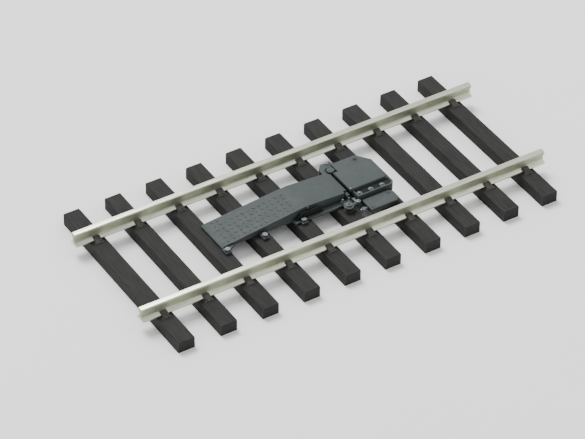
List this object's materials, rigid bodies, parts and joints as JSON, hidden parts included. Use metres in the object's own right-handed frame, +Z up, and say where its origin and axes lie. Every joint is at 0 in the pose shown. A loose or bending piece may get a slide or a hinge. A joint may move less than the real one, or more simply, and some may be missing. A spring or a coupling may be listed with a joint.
{
  "type": "model turnout switch",
  "caption": "Low switch unit with a hinged ramp, solenoid housing, bell crank and side box, fixed between the rails of a short length of model track.",
  "frame": {"origin": "centre of the track panel, on the plane that the sleepers stand on", "axes": "+X along the rails towards the housing end, +Y towards the far rail, +Z up"},
  "size_m": [0.0624, 0.03, 0.0037],
  "materials": {
    "unit_casting": "semi-matt blue-grey",
    "sleeper_plastic": "matt brown-black with wood grain",
    "rail_metal": "drawn nickel silver",
    "steel_fixings": "dull steel",
    "seal_rubber": "matt",
    "bobbin_plastic": "natural nylon",
    "copper_wire": "enamelled copper",
    "soft_iron": "plated",
    "contact_brass": "polished",
    "board_resin": "resin-bonded paper"
  },
  "bodies": {
    "panel": {"near_rail": "rail_metal", "far_rail": "rail_metal", "sleeper_01": "sleeper_plastic", "sleeper_02": "sleeper_plastic", "sleeper_03": "sleeper_plastic", "sleeper_04": "sleeper_plastic", "sleeper_05": "sleeper_plastic", "sleeper_06": "sleeper_plastic", "sleeper_07": "sleeper_plastic", "sleeper_08": "sleeper_plastic", "sleeper_09": "sleeper_plastic", "sleeper_10": "sleeper_plastic", "bed_plate": "unit_casting", "near_gusset": "unit_casting", "hinge_bracket": "unit_casting", "hinge_post": "unit_casting", "housing": "unit_casting", "main_cover": "unit_casting", "crank_post": "unit_casting", "side_box": "unit_casting", "box_lid": "unit_casting", "hinge_pin": "unit_casting", "far_cover_bolt": "unit_casting", "lid_screws": "unit_casting", "gland_nut": "steel_fixings", "cable_gland": "steel_fixings", "fixing_bolts": "steel_fixings", "bed_screws": "steel_fixings", "post_bolt": "steel_fixings", "cover_bolts": "steel_fixings", "corner_screw": "steel_fixings", "box_screws": "steel_fixings", "crank_nut": "steel_fixings", "cover_gasket": "seal_rubber", "near_bobbin": "bobbin_plastic", "far_bobbin": "bobbin_plastic", "terminal_block": "bobbin_plastic", "near_winding": "copper_wire", "far_winding": "copper_wire", "coil_yoke": "soft_iron", "contact_pads": "contact_brass", "terminal_screws": "contact_brass", "switch_board": "board_resin"},
    "ramp": {"ramp_plate": "unit_casting", "lift_stud": "unit_casting"},
    "slide": {"armature": "soft_iron", "drive_slide": "steel_fixings", "wiper_arm": "contact_brass"},
    "crank": {"bell_crank": "unit_casting", "drive_pin": "steel_fixings", "output_pin": "steel_fixings"}
  },
  "joints": [
    {"name": "ramp_hinge", "type": "hinge", "parent": "panel", "child": "ramp", "pos_m": [0.0042, 0, 0.0027], "axis": [0, 1, 0], "range_deg": [0, 45]},
    {"name": "armature_travel", "type": "slide", "parent": "panel", "child": "slide", "axis": [0, 1, 0], "range_m": [-0.00025, 0.00025]},
    {"name": "crank_turn", "type": "hinge", "parent": "panel", "child": "crank", "pos_m": [0.0032, -0.0041, 0.0024], "axis": [0, 0, 1], "range_deg": [-9.6, 9.6]}
  ],
  "couplings": [
    {"joint": "crank_turn", "follows": "armature_travel", "rad_per_m": 666.67}
  ]
}
